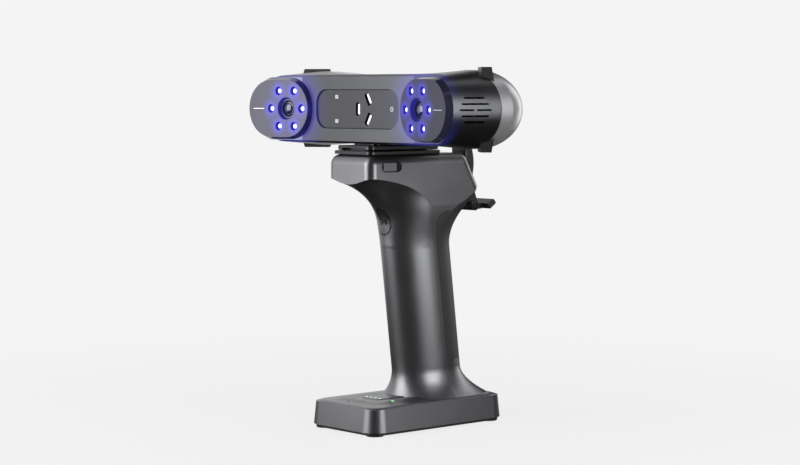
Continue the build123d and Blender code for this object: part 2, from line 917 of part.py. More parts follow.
with BuildPart() as front_form:
    with BuildSketch(Plane.XZ.offset(rim_forward)):
        with Locations((0, head_middle)):
            add(head_outline(bridge_straight, pod_rise_to, pod_half, pod_centre, pod_reach))
    with BuildSketch(Plane.XZ.offset(front_depth)):
        with Locations((0, head_middle)):
            add(
                head_outline(
                    bridge_straight,
                    pod_front_centre - 3,
                    pod_front_half,
                    pod_front_centre,
                    pod_front_reach,
                )
            )
    loft(ruled=True)
    mirror(about=Plane.YZ)
    with BuildSketch(Plane.XY.offset(head_middle - 2 * pod_half)):
        with BuildLine():
            Polyline(
                (0, -bridge_face), (fold_side, -bridge_face), (end_side, seat_front(end_side)),
                (end_side, -rim_forward), (0, -rim_forward), close=True,
            )
        make_face()
        mirror(about=Plane.YZ)
    extrude(amount=4 * pod_half, mode=Mode.INTERSECT)
    # bevel along the top and bottom of the front
    with BuildSketch(Plane((0, 0, head_middle), x_dir=(0, 1, 0), z_dir=(1, 0, 0))):
        with BuildLine():
            Polyline(
                (0, 2 * pod_half),
                (-bridge_face + front_edge_bevel, 2 * pod_half),
                (-bridge_face + front_edge_bevel, bridge_half),
                (-bridge_face, bridge_half - front_edge_bevel),
                (-3 * bridge_face, bridge_half - front_edge_bevel),
                (-3 * bridge_face, 0),
                (0, 0),
                close=True,
            )
        make_face()
        mirror(about=Plane.XZ)
    extrude(amount=2 * end_side, both=True, mode=Mode.INTERSECT)

with BuildPart() as back_form:
    # straight band behind the rim, then the rounded back
    with BuildSketch(Plane.XZ.offset(rim_forward)):
        with Locations((0, head_middle)):
            add(head_outline(bridge_straight, pod_rise_to, pod_half, pod_centre, pod_reach))
    extrude(amount=-rim_step - back_reach)
    mirror(about=Plane.YZ)

with BuildPart() as back_round:
    with BuildSketch(Plane.YZ):
        with Locations((-rim_forward + rim_step, head_middle)):
            Ellipse(back_reach, pod_half + round_slack)
    extrude(amount=pod_centre, both=True)
    for side in (-1, 1):
        with BuildSketch(Plane.XZ.offset(rim_forward - rim_step)):
            with BuildLine():
                EllipticalCenterArc(
                    (side * pod_centre, head_middle),
                    pod_reach + round_slack,
                    pod_half + round_slack,
                    -90,
                    arc_size=180,
                )
                Line(
                    (side * pod_centre, head_middle + pod_half + round_slack),
                    (side * pod_centre, head_middle - pod_half - round_slack),
                )
            make_face()
        revolve(axis=Axis((side * pod_centre, -rim_forward + rim_step, head_middle), (0, 0, 1)))
    with BuildSketch(Plane.XZ.offset(rim_forward)):
        with Locations((0, head_middle)):
            Rectangle(4 * pod_centre, 4 * pod_half)
    extrude(amount=-rim_step)

with BuildPart() as shell_form:
    add(back_form.part)
    add(back_round.part, mode=Mode.INTERSECT)


def bumper_block(side, up):
    """One corner bumper: a tapered block turned to wrap the pod's corner, above or below it."""
    turn = -side * bumper_turn
    with BuildPart() as block:
        for rise, spread in ((0, 3.0), (9 + bumper_proud, 0.0)):
            with BuildSketch(Plane(
                origin=(side * bumper_side, -bumper_forward, head_middle + up * (pod_half - 9 + rise)),
                x_dir=(cos(radians(turn)), sin(radians(turn)), 0),
                z_dir=(0, 0, 1),
            )):
                Rectangle(bumper_length + 2 * spread, bumper_thickness + spread)
        loft()
    return block.part


with BuildPart() as bumpers:
    for side in (-1, 1):
        for up in (-1, 1):
            add(bumper_block(side, up))
    add(front_form.part, mode=Mode.SUBTRACT)
    add(shell_form.part, mode=Mode.SUBTRACT)
save(bumpers, "bumpers")

panel_front = bridge_face - window_recess
panel_back = panel_front - panel_thickness
window_board_back = panel_back - board_thickness
projector_back = chassis_front + fit_gap
slot_spots = [(0, 0, 0), (slot_side, slot_rise, slot_turn), (slot_side, -slot_rise, -slot_turn)]


def emitter_slots(long, wide, shift):
    """The three slanted emitter slots, or the bars in them, as a sketch."""
    with BuildSketch(mode=Mode.PRIVATE) as slots:
        for across, up, turn in slot_spots:
            with Locations(Location((across, up), turn)):
                with Locations((shift, 0)):
                    RectangleRounded(wide, long, wide * 0.3)
    return slots.sketch


def cover_foot(clear, depth, amount):
    """Prism of a camera cover's foot outline, a clearance larger, from a depth forwards."""
    pieces = []
    for side in (-1, 1):
        with BuildPart() as foot:
            with BuildSketch(cover_plane(side, depth)):
                with Locations((cover_length / 2, 0)):
                    SlotCenterToCenter(cover_length, 2 * (cover_radius + cover_flare + clear))
            extrude(amount=amount)
        pieces.append(foot.part)
    return pieces


def lens_discs(radius, depth, amount):
    """A round prism on each lens axis, from a depth forwards."""
    pieces = []
    for side in (-1, 1):
        with BuildPart() as disc:
            with BuildSketch(cover_plane(side, depth)):
                Circle(radius)
            extrude(amount=amount)
        pieces.append(disc.part)
    return pieces


with BuildPart() as front_housing:
    add(front_form.part)
    # room inside
    with BuildSketch(Plane.XZ.offset(rim_forward)):
        with Locations((0, head_middle)):
            Rectangle(2 * head_room_side, 2 * head_room_half)
    extrude(amount=head_room_front - rim_forward, mode=Mode.SUBTRACT)
    # seats of the camera covers, ring boards and lens barrels
    for piece in cover_foot(fit_gap, cover_height, 3 * cover_height):
        add(piece, mode=Mode.SUBTRACT)
    for piece in lens_discs(board_radius + fit_gap, pocket_depth, pocket_depth):
        add(piece, mode=Mode.SUBTRACT)
    for piece in lens_discs(barrel_base_radius + fit_gap, barrel_length, barrel_length):
        add(piece, mode=Mode.SUBTRACT)
    # window recess, its board and the projector's opening
    with BuildSketch(Plane.XZ.offset(panel_back)):
        with Locations((0, head_middle)):
            RectangleRounded(window_width, window_height, window_corner)
    extrude(amount=bridge_face, mode=Mode.SUBTRACT)
    with BuildSketch(Plane.XZ.offset(window_board_back)):
        with Locations((0, head_middle)):
            Rectangle(window_board_width + 2 * fit_gap, window_board_height + 2 * fit_gap)
    extrude(amount=board_thickness, mode=Mode.SUBTRACT)
    with BuildSketch(Plane.XZ.offset(head_room_front)):
        with Locations((0, head_middle)):
            Rectangle(projector_width + 2 * fit_gap, projector_height + 2 * fit_gap)
    extrude(amount=window_board_back - head_room_front, mode=Mode.SUBTRACT)
    # vents through both ends
    vent_lengths = ((-2, vent_short), (-1, vent_long), (1, vent_long), (2, vent_short))
    for side in (-1, 1):
        with BuildSketch(Plane.YZ.offset(side * (vent_room_out - 3))):
            for row, long in vent_lengths:
                with Locations((-vent_middle_forward, head_middle + vent_pitch * row)):
                    SlotOverall(long, vent_thickness)
            for along in (-1, 1):
                with Locations((-vent_middle_forward + along * (vent_half_slot / 2 + 1.0), head_middle)):
                    SlotOverall(vent_half_slot, vent_thickness)
        extrude(amount=side * 3 * head_room_half, mode=Mode.SUBTRACT)
    with BuildSketch(Plane.XY.offset(head_middle - vent_room_half)):
        for side in (-1, 1):
            with Locations((side * (vent_room_out - 6), -vent_middle_forward + 1)):
                Rectangle(12, vent_long + 3)
    extrude(amount=2 * vent_room_half, mode=Mode.SUBTRACT)
    # threads of the case screws and of the stand plate's screw
    with BuildSketch(Plane.XZ.offset(rim_forward)):
        with GridLocations(2 * case_screw_side, 2 * case_screw_rise, 2, 2):
            with Locations((0, head_middle)):
                Circle(case_screw_radius)
    extrude(amount=case_screw_grip, mode=Mode.SUBTRACT)
save(front_housing, "front_housing")

with BuildPart() as back_shell:
    add(shell_form.part)
    with BuildSketch(Plane.XZ.offset(rim_forward)):
        with Locations((0, head_middle)):
            Rectangle(2 * shell_room_side, 2 * shell_room_half)
    extrude(amount=-rim_forward - shell_room_back, mode=Mode.SUBTRACT)
    with BuildSketch(Plane.XZ.offset(-shell_room_back)):
        with Locations((0, head_middle)):
            Rectangle(2 * key_room_side, 2 * key_room_half)
    extrude(amount=shell_room_back - key_room_back, mode=Mode.SUBTRACT)
    # standoffs of the main board and of the key board
    with BuildSketch(Plane.XZ.offset(main_board_front - board_thickness)):
        with Locations((0, head_middle)):
            with GridLocations(main_board_width - 10, 2 * shell_room_half - 6, 2, 2):
                Circle(main_post_radius)
    extrude(amount=-(main_board_front - board_thickness) - shell_room_back)
    with BuildSketch(Plane.XZ.offset(-key_board_front - board_thickness)):
        with Locations((0, head_middle)):
            with GridLocations(key_board_width - 6, key_board_height - 4, 2, 2):
                Circle(key_post_radius)
    extrude(amount=key_board_front + board_thickness - key_room_back)
    # holes for the keys, the socket and the case screws
    with BuildSketch(Plane.XZ.offset(-shell_room_back)):
        for across in key_sides:
            with Locations((across, head_middle)):
                Circle(key_radius + move_gap)
        with Locations((socket_side, head_middle)):
            SlotOverall(socket_wide + 2 * fit_gap, socket_high + 2 * fit_gap)
    extrude(amount=-back_reach, mode=Mode.SUBTRACT)
    with BuildSketch(Plane.XZ.offset(rim_forward)):
        with Locations((0, head_middle)):
            with GridLocations(2 * case_screw_side, 2 * case_screw_rise, 2, 2):
                Circle(case_screw_radius + fit_gap)
    extrude(amount=-3 * back_reach, mode=Mode.SUBTRACT)
    with BuildSketch(Plane.XZ.offset(-case_screw_seat)):
        with Locations((0, head_middle)):
            with GridLocations(2 * case_screw_side, 2 * case_screw_rise, 2, 2):
                Circle(case_screw_head + fit_gap)
    extrude(amount=-back_reach, mode=Mode.SUBTRACT)
    with BuildSketch(Plane.XY.offset(head_middle - pod_half)):
        with Locations((0, mount_screw_back)):
            Circle(mount_screw_radius)
    extrude(amount=pod_half - shell_room_half, mode=Mode.SUBTRACT)
save(back_shell, "back_shell")

with BuildPart() as case_screws:
    with Locations((0, 0)):
        for across in (-1, 1):
            for up in (-1, 1):
                spot = (across * case_screw_side, case_screw_seat, head_middle + up * case_screw_rise)
                add(screw(
                    Plane(spot, x_dir=(1, 0, 0), z_dir=(0, 1, 0)),
                    case_screw_seat + rim_forward + case_screw_grip - 1,
                    case_screw_radius - shaft_gap,
                    case_screw_head,
                    1.6,
                ))
save(case_screws, "case_screws")

for side, hand in ((-1, "left"), (1, "right")):
    face = cover_plane(side)
    seat = cover_plane(side, cover_height)
    board_back = cover_plane(side, cover_height + board_thickness)

    with BuildPart() as camera_cover:
        with BuildSketch(seat):
            with Locations((cover_length / 2, 0)):
                SlotCenterToCenter(cover_length, 2 * (cover_radius + cover_flare))
        extrude(amount=cover_height, taper=degrees(atan(cover_flare / cover_height)))
        with BuildSketch(face):
            Circle(aperture_radius)
        extrude(amount=-cover_height, taper=4, mode=Mode.SUBTRACT)
        with BuildSketch(face):
            with PolarLocations(light_ring_radius, ring_light_count):
                Circle(ring_hole_radius)
        extrude(amount=-cover_height, mode=Mode.SUBTRACT)
    save(camera_cover, f"camera_cover_{hand}")

    with BuildPart() as ring_board:
        with BuildSketch(board_back):
            Circle(board_radius)
            Circle(barrel_radius + fit_gap, mode=Mode.SUBTRACT)
        extrude(amount=board_thickness)
    save(ring_board, f"ring_board_{hand}")

    with BuildPart() as ring_lights:
        with BuildSketch(seat):
            with PolarLocations(light_ring_radius, ring_light_count):
                Circle(ring_light_radius)
        extrude(amount=ring_light_height)
        fillet(faces().group_by(Axis(seat.origin, seat.z_dir))[-1].edges(), ring_light_radius * 0.6)
    save(ring_lights, f"ring_lights_{hand}")

    with BuildPart() as lens_barrel:
        with BuildSketch(cover_plane(side, barrel_length)):
            Circle(barrel_base_radius)
        extrude(amount=barrel_length - barrel_base_depth)
        with BuildSketch(cover_plane(side, barrel_base_depth)):
            Circle(barrel_radius)
        extrude(amount=barrel_base_depth - barrel_set_back)
        with BuildSketch(cover_plane(side, barrel_set_back)):
            Circle(lens_radius + fit_gap)
        extrude(amount=-lens_depth, mode=Mode.SUBTRACT)
    save(lens_barrel, f"lens_barrel_{hand}")

    with BuildPart() as lens:
        with BuildSketch(cover_plane(side, barrel_set_back + lens_depth)):
            Circle(lens_radius)
        extrude(amount=lens_depth - 0.3)
        fillet(faces().sort_by(Axis(face.origin, face.z_dir))[-1].edges(), lens_depth - 0.8)
    save(lens, f"lens_{hand}")

    with BuildPart() as camera_board:
        with BuildSketch(cover_plane(side, barrel_length + board_thickness)):
            Rectangle(camera_board_size, camera_board_size)
        extrude(amount=board_thickness)
    save(camera_board, f"camera_board_{hand}")

# ---------------------------------------------------------------- between the cameras

with BuildPart() as window_panel:
    with BuildSketch(Plane.XZ.offset(panel_back)):
        with Locations((0, head_middle)):
            RectangleRounded(
                window_width - 2 * fit_gap,
                window_height - 2 * fit_gap,
                window_corner - fit_gap,
            )
            add(emitter_slots(slot_long, slot_wide, 0), mode=Mode.SUBTRACT)
            with Locations((-fill_side, -fill_rise), (-fill_side, fill_rise)):
                Rectangle(fill_wide, fill_high, mode=Mode.SUBTRACT)
            with Locations((eye_side, 0)):
                Circle(eye_radius, mode=Mode.SUBTRACT)
    extrude(amount=panel_thickness)
save(window_panel, "window_panel")

with BuildPart() as window_board:
    with BuildSketch(Plane.XZ.offset(window_board_back)):
        with Locations((0, head_middle)):
            Rectangle(window_board_width, window_board_height)
    extrude(amount=board_thickness)
save(window_board, "window_board")

with BuildPart() as emitters:
    with BuildSketch(Plane.XZ.offset(panel_back)):
        with Locations((0, head_middle)):
            add(emitter_slots(slot_long - 2, slot_wide * 0.45, slot_wide * 0.22))
    extrude(amount=panel_thickness - 0.4)
save(emitters, "emitters")

with BuildPart() as fill_lights:
    with BuildSketch(Plane.XZ.offset(panel_back)):
        with Locations((-fill_side, head_middle - fill_rise), (-fill_side, head_middle + fill_rise)):
            Rectangle(fill_wide - 2 * fit_gap, fill_high - 2 * fit_gap)
    extrude(amount=panel_thickness - 0.2)
save(fill_lights, "fill_lights")

with BuildPart() as colour_camera:
    with BuildSketch(Plane.XZ.offset(panel_back)):
        with Locations((eye_side, head_middle)):
            Circle(eye_radius - fit_gap)
    extrude(amount=panel_thickness - 0.1)
save(colour_camera, "colour_camera")

with BuildPart() as projector:
    with BuildSketch(Plane.XZ.offset(projector_back)):
        with Locations((0, head_middle)):
            Rectangle(projector_width, projector_height)
    extrude(amount=window_board_back - projector_back)
    # cooling fins on top and bottom
    with BuildSketch(Plane.XZ.offset(projector_back)):
        with Locations((0, head_middle)):
            with GridLocations(4, projector_height, 8, 2):
                Rectangle(1.6, 5)
    extrude(amount=head_room_front - projector_back - 1, mode=Mode.SUBTRACT)
save(projector, "projector")

with BuildPart() as chassis:
    with BuildSketch(Plane.XZ.offset(chassis_front - chassis_thickness)):
        with Locations((0, head_middle)):
            Rectangle(2 * (head_room_side - fit_gap), 2 * chassis_half)
            with Locations(*[(across, 0) for across in (-70, -45, 45, 70)]):
                SlotOverall(16, 6, mode=Mode.SUBTRACT)
    extrude(amount=chassis_thickness)
    chamfer(edges().filter_by(Axis.X), 1)
save(chassis, "chassis")

with BuildPart() as main_board:
    with BuildSketch(Plane.XZ.offset(main_board_front - board_thickness)):
        with Locations((0, head_middle)):
            Rectangle(main_board_width, 2 * shell_room_half - 1)
    extrude(amount=board_thickness)
    with BuildSketch(Plane.XZ.offset(main_board_front)):
        with Locations((-22, head_middle), (18, head_middle + 4)):
            Rectangle(16, 16)
    extrude(amount=1.4)
save(main_board, "main_board")

# ---------------------------------------------------------------- back of the head

with BuildPart() as key_board:
    with BuildSketch(Plane.XZ.offset(-key_board_front - board_thickness)):
        with Locations((0, head_middle)):
            Rectangle(key_board_width, key_board_height)
    extrude(amount=board_thickness)
save(key_board, "key_board")

key_switch_back = key_board_front + board_thickness + switch_depth
key_low = key_switch_back + key_travel + move_gap
with BuildPart() as key_switches:
    for across in key_sides:
        add(push_switch(Plane((across, key_switch_back, head_middle), x_dir=(1, 0, 0), z_dir=(0, 1, 0))))
save(key_switches, "key_switches")

for across, name in zip(key_sides, ("minus_key", "scan_key", "plus_key")):
    with BuildPart() as key:
        with BuildSketch(Plane.XZ.offset(-key_low)):
            with Locations((across, head_middle)):
                Circle(key_radius)
        extrude(amount=key_low - key_top)
        fillet(faces().sort_by(Axis.Y)[-1].edges(), 0.6)
        with BuildSketch(Plane.XZ.offset(-key_low)):
            with Locations((across, head_middle)):
                Circle(stem_radius)
        extrude(amount=key_low - key_switch_back + stem_in)
    save(key, name)

with BuildPart() as data_socket:
    data_socket_place = (socket_side, key_top - 1.4 - socket_length, head_middle)
    add(usb_socket(Plane(data_socket_place, x_dir=(1, 0, 0), z_dir=(0, 1, 0))))
save(data_socket, "data_socket")

with BuildPart() as mount_screw:
    add(screw(
        Plane((0, mount_screw_back, mount_screw_seat), z_dir=(0, 0, -1)),
        mount_screw_length, mount_screw_radius - shaft_gap, mount_screw_head, mount_screw_head_height,
    ))
save(mount_screw, "mount_screw")

# ---------------------------------------------------------------- phone clamp

clamp_middle = (clamp_front + clamp_back) / 2

with BuildPart() as clamp_bracket:
    with BuildSketch(Plane.XZ.offset(-bracket_back)):
        with Locations((0, (bracket_low + bracket_high) / 2)):
            RectangleRounded(2 * bracket_half, bracket_high - bracket_low, 2)
    extrude(amount=clamp_back - clamp_front)
    for side in (-1, 1):
        with BuildSketch(Plane.YZ.offset(side * (strap_half + move_gap))):
            with BuildLine():
                Polyline(
                    (hinge_back - knuckle_radius, hinge_height), (hinge_back + knuckle_radius, hinge_height),
                    (bracket_back, bracket_high - 4),
                    (hinge_back - knuckle_radius - 1, bracket_high - 4),
                    close=True,
                )
            make_face()
            with Locations((hinge_back, hinge_height)):
                Circle(knuckle_radius)
        extrude(amount=side * ear_thickness)
    add(handle_outer.part, mode=Mode.SUBTRACT)
    with BuildSketch(Plane.YZ):
        with Locations((hinge_back, hinge_height)):
            Circle(hinge_radius + fit_gap / 3)
    extrude(amount=bracket_half, both=True, mode=Mode.SUBTRACT)
    with BuildSketch(Plane.XZ.offset(-clamp_back)):
        with Locations(*bracket_screw_spots):
            Circle(bracket_screw_radius + fit_gap)
    extrude(amount=clamp_back, mode=Mode.SUBTRACT)
    with BuildSketch(Plane.XZ.offset(-bracket_screw_seat)):
        with Locations(*bracket_screw_spots):
            Circle(bracket_screw_head + fit_gap)
    extrude(amount=-bracket_back, mode=Mode.SUBTRACT)
save(clamp_bracket, "clamp_bracket")

with BuildPart() as bracket_screws:
    for side in (-1, 1):
        spot = (side * bracket_screw_side, bracket_screw_seat, bracket_screw_height)
        add(screw(
            Plane(spot, x_dir=(1, 0, 0), z_dir=(0, 1, 0)),
            bracket_screw_length - 1,
            bracket_screw_radius - shaft_gap,
            bracket_screw_head,
            bracket_back - bracket_screw_seat - fit_gap,
        ))
save(bracket_screws, "bracket_screws")

with BuildPart() as hinge_pin:
    with BuildSketch(Plane.YZ.offset(-hinge_half - 0.6)):
        with Locations((hinge_back, hinge_height)):
            Circle(hinge_radius)
    extrude(amount=2 * (hinge_half + 0.6))
    with BuildSketch(Plane.YZ.offset(hinge_half + 0.1)):
        with Locations((hinge_back, hinge_height)):
            Circle(hinge_radius + 0.9)
    extrude(amount=1.0)
    fillet(faces().sort_by(Axis.X)[-1].edges(), 0.4)
save(hinge_pin, "hinge_pin")

with BuildPart() as clamp_spine:
    with BuildSketch(Plane.YZ):
        with BuildLine():
            Polyline(
                (clamp_back - clamp_bow, clamp_body_high),
                (clamp_front, clamp_body_high),
                (clamp_front, clamp_body_low + 4),
                (strap_front, clamp_body_low),
                (strap_front, hinge_height),
                (clamp_back - clamp_bow, hinge_height),
                (clamp_back - clamp_bow, clamp_body_low),
            )
            ThreePointArc(
                (clamp_back - clamp_bow, clamp_body_low),
                (clamp_back, clamp_body_low + clamp_bow_rise),
                (clamp_back - clamp_bow, clamp_body_low + 2 * clamp_bow_rise),
            )
            Line(
                (clamp_back - clamp_bow, clamp_body_low + 2 * clamp_bow_rise),
                (clamp_back - clamp_bow, clamp_body_high),
            )
        make_face()
        fillet(vertices().sort_by_distance((clamp_front, clamp_body_high))[0], 2)
        with Locations((hinge_back, hinge_height)):
            Circle(knuckle_radius)
    extrude(amount=strap_half, both=True)
    fillet(edges().filter_by(Axis.Z).group_by(Axis.Y)[0], 1.5)
    with BuildSketch(Plane.YZ):
        with Locations((hinge_back, hinge_height)):
            Circle(hinge_radius + shaft_gap)
    extrude(amount=2 * strap_half, both=True, mode=Mode.SUBTRACT)
    with BuildSketch(Plane.XY.offset(rod_room)):
        with Locations((-rod_side, clamp_middle), (rod_side, clamp_middle)):
            Circle(rod_radius + shaft_gap)
        with Locations((0, clamp_middle)):
            Circle(spring_radius + move_gap)
    extrude(amount=clamp_body_high, mode=Mode.SUBTRACT)
save(clamp_spine, "clamp_spine")

with BuildPart() as lower_jaw:
    with BuildSketch(Plane.YZ):
        with BuildLine():
            Polyline(
                (hinge_back, hinge_height - knuckle_radius),
                (jaw_low_back - 5.7, hinge_height - knuckle_radius + 1.1),
                (jaw_low_back - 5.7, hinge_height - knuckle_radius + 1.1 + jaw_arm_thickness),
                (hinge_back, hinge_height - knuckle_radius + 1.1 + jaw_arm_thickness),
                close=True,
            )
        make_face()
    extrude(amount=strap_half, both=True)
    with BuildSketch(Plane.YZ):
        with BuildLine():
            Polyline(
                (jaw_low_back - 8.3, hinge_height + 1.5),
                (jaw_high_back, hinge_height + 4.9),
                (jaw_low_back, hinge_height + 1.9),
                (jaw_low_back - 5.7, hinge_height - 2.1),
                close=True,
            )
        make_face()
        fillet(vertices().sort_by_distance((jaw_high_back, hinge_height + 5))[0], 1.2)
        fillet(vertices().sort_by_distance((jaw_low_back, hinge_height + 2))[0], 1.2)
    extrude(amount=jaw_half, both=True)
    add(clamp_spine.part, mode=Mode.SUBTRACT)
    with BuildSketch(Plane.YZ):
        with Locations((hinge_back, hinge_height)):
            Circle(knuckle_radius + fit_gap)
    extrude(amount=jaw_half, both=True, mode=Mode.SUBTRACT)
save(lower_jaw, "lower_jaw")

jaw_under = clamp_body_high + move_gap

with BuildPart() as upper_jaw:
    with BuildSketch(Plane.YZ):
        with BuildLine():
            Polyline(
                (clamp_front, jaw_under),
                (clamp_front, jaw_under + jaw_top_height),
                (jaw_high_back, jaw_under + jaw_top_height),
                (jaw_high_back, jaw_under - jaw_lip_drop),
                (jaw_high_back - jaw_lip + 2, jaw_under - jaw_lip_drop),
                (jaw_high_back - jaw_lip, jaw_under),
                close=True,
            )
        make_face()
        fillet(vertices().group_by(Axis.Y)[-1], 1.6)
        fillet(vertices().group_by(Axis.Y)[0], 1)
    extrude(amount=jaw_half, both=True)
    with BuildSketch(Plane.XY.offset(rod_bottom)):
        with Locations((-rod_side, clamp_middle), (rod_side, clamp_middle)):
            Circle(rod_radius)
    extrude(amount=jaw_under + 1 - rod_bottom)
save(upper_jaw, "upper_jaw")

with BuildPart() as jaw_spring:
    with BuildSketch(Plane.XY.offset(rod_room)):
        with Locations((0, clamp_middle)):
            Circle(spring_radius)
            Circle(spring_radius - spring_wire, mode=Mode.SUBTRACT)
    extrude(amount=jaw_under - rod_room)
save(jaw_spring, "jaw_spring")

# the origin goes to the floor under the middle of the whole footprint
foremost = min(shape.bounding_box().min.Y for shape in finished.values())
rearmost = max(shape.bounding_box().max.Y for shape in finished.values())
to_middle = Location((0, -(foremost + rearmost) / 2, 0))
for name, shape in finished.items():
    placed = shape.moved(to_middle)
    placed.label = name
    export_step(placed, f"parts/{name}.step")
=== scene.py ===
import bpy
import bmesh
from math import cos, pi, radians, sin
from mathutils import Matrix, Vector


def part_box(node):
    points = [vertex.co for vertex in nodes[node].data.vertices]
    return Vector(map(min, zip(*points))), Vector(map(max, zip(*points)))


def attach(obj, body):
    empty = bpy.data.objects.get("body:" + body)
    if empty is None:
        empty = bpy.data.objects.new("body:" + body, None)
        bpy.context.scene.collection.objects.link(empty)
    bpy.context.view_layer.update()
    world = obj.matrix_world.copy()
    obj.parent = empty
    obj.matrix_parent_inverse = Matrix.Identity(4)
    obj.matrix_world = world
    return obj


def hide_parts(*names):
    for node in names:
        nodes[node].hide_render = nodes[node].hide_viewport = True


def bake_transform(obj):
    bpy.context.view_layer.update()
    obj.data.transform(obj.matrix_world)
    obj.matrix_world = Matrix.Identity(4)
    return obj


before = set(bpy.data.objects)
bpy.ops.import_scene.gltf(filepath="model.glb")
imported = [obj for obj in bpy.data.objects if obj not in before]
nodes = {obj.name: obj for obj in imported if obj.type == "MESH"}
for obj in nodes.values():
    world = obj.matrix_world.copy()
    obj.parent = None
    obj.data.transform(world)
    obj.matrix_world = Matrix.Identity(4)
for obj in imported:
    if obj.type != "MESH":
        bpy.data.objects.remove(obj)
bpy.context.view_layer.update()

# ------------------------------------------------------------------ studio
# A pale paper floor, four soft lamps round and above the scanner, and a black tent between them
# that gives the satin paint its dark bands.


def put(name, data):
    """Sets out a mesh, a lamp or the camera as an object of the scene."""
    thing = bpy.data.objects.new(name, data)
    bpy.context.scene.collection.objects.link(thing)
    return thing


camera_data = bpy.data.cameras.new("camera")
camera = put("camera", camera_data)
camera_data.sensor_width = 36
camera_data.lens = 94.61
camera_data.clip_start = 0.05
camera.location = (1.0682, -0.9496, 0.2272)
view_turn = radians(48.699)
view_dip = radians(3.865)
looking = Vector((-sin(view_turn) * cos(view_dip), cos(view_turn) * cos(view_dip), -sin(view_dip)))
camera.rotation_euler = looking.to_track_quat("-Z", "Y").to_euler()
bpy.context.scene.camera = camera
bpy.context.scene.view_settings.view_transform = "Standard"


class Wire:
    """A socket of a material's node tree that does sums when it is used in an expression."""

    def __init__(self, tree, socket):
        self.tree = tree
        self.socket = socket

    def node(self, kind, settings=(), **inputs):
        """Adds a node, with its settings set first, and links or sets its input sockets."""
        made = self.tree.nodes.new(kind)
        for name, value in dict(settings).items():
            setattr(made, name, value)
        for name, value in inputs.items():
            socket = made.inputs[int(name[1:]) if name[1:].isdigit() else name]
            if isinstance(value, Wire):
                self.tree.links.new(value.socket, socket)
            else:
                socket.default_value = value
        return made

    def out(self, kind, output=0, settings=(), **inputs):
        return Wire(self.tree, self.node(kind, settings, **inputs).outputs[output])

    def maths(self, operation, first, second=0.0, clamp=False):
        settings = {"operation": operation, "use_clamp": clamp}
        return self.out("ShaderNodeMath", 0, settings, i0=first, i1=second)

    def __add__(self, other):
        return self.maths("ADD", self, other)

    __radd__ = __add__

    def __sub__(self, other):
        return self.maths("SUBTRACT", self, other)

    def __rsub__(self, other):
        return self.maths("SUBTRACT", other, self)

    def __mul__(self, other):
        return self.maths("MULTIPLY", self, other)

    __rmul__ = __mul__

    def __neg__(self):
        return self * -1

    def mixed(self, low, high):
        """Between two colours or colour wires, by this wire as the share."""
        ends = [end if isinstance(end, Wire) else (*end, 1) for end in (low, high)]
        return self.out("ShaderNodeMix", 2, {"data_type": "RGBA"}, i0=self, i6=ends[0], i7=ends[1])

    def place(self):
        """The three coordinates of a point in the piece's own space, in metres."""
        spot = self.out("ShaderNodeTexCoord", 3)
        parts = self.node("ShaderNodeSeparateXYZ", {}, Vector=spot)
        return [Wire(self.tree, parts.outputs[axis]) for axis in range(3)]

    def size(self):
        """The wire without its sign."""
        return self.maths("ABSOLUTE", self)

    def root(self):
        """The square root."""
        return self.maths("SQRT", self)

    def below(self, limit, blur):
        """1 where this wire is under a limit and 0 where it is over it, with a short slope between."""
        return self.maths("ADD", (limit - self) * (1 / blur), 0.5, True)

    def over(self, other):
        """The larger of two wires."""
        return self.maths("MAXIMUM", self, other)

    def noise(self, scale, detail=3.0, stretch=(1, 1, 1)):
        """Noise over the piece's own space, with the scale in features per metre."""
        spot = self.out("ShaderNodeTexCoord", 3)
        if stretch != (1, 1, 1):
            spot = self.out("ShaderNodeMapping", 0, {}, Vector=spot, Scale=stretch)
        return self.out("ShaderNodeTexNoise", 0, {}, Vector=spot, Scale=scale, Detail=detail)


def new_material(name):
    """A material with its principled shader and a wire to start expressions from."""
    material = bpy.data.materials.new(name)
    material.use_nodes = True
    tree = material.node_tree
    shader = tree.nodes["Principled BSDF"]
    return material, shader, Wire(tree, None)


def feed(shader, wire, socket):
    wire.tree.links.new(wire.socket, shader.inputs[socket])


def dress(material, *names):
    """Gives carried-over CAD nodes their material."""
    for name in names:
        nodes[name].data.materials.clear()
        nodes[name].data.materials.append(material)


pale = 0.905
world = bpy.data.worlds.new("studio")
bpy.context.scene.world = world
world.use_nodes = True
world_tree = world.node_tree
sky = world_tree.nodes["Background"]
sky.inputs["Strength"].default_value = 1
sight = Wire(world_tree, None)
rays = sight.node("ShaderNodeLightPath")
seen = Wire(world_tree, rays.outputs["Is Camera Ray"])
shine = Wire(world_tree, rays.outputs["Is Glossy Ray"])
through = Wire(world_tree, rays.outputs["Is Transmission Ray"])
backdrop_share = seen.over(shine).over(through)
feed(sky, backdrop_share.mixed((0.3, 0.3, 0.31), (pale, pale, pale)), "Color")

floor_half = 30
shade_reach, shade_blur, shade_depth = 0.35, 0.5, 0.12
floor_mesh = bpy.data.meshes.new("floor")
shape = bmesh.new()
bmesh.ops.create_grid(shape, x_segments=8, y_segments=8, size=floor_half)
shape.to_mesh(floor_mesh)
shape.free()
floor = put("floor", floor_mesh)
floor_material, floor_paint, floor_wire = new_material("floor_paper")
floor_tree = floor_material.node_tree
floor_paint.inputs["Base Color"].default_value = (0.8, 0.8, 0.8, 1)
floor_paint.inputs["Roughness"].default_value = 0.9
floor_rays = floor_wire.node("ShaderNodeLightPath")
glow = floor_wire.node("ShaderNodeEmission", {}, Color=(pale, pale, pale, 1), Strength=1.0)
floor_x, floor_y, _ = floor_wire.place()
near_share = (floor_x * floor_x + floor_y * floor_y).root().below(shade_reach, shade_blur)
floor_share = Wire(floor_tree, floor_rays.outputs["Is Camera Ray"]).over(
    Wire(floor_tree, floor_rays.outputs["Is Glossy Ray"])
) * (1 - near_share * shade_depth)
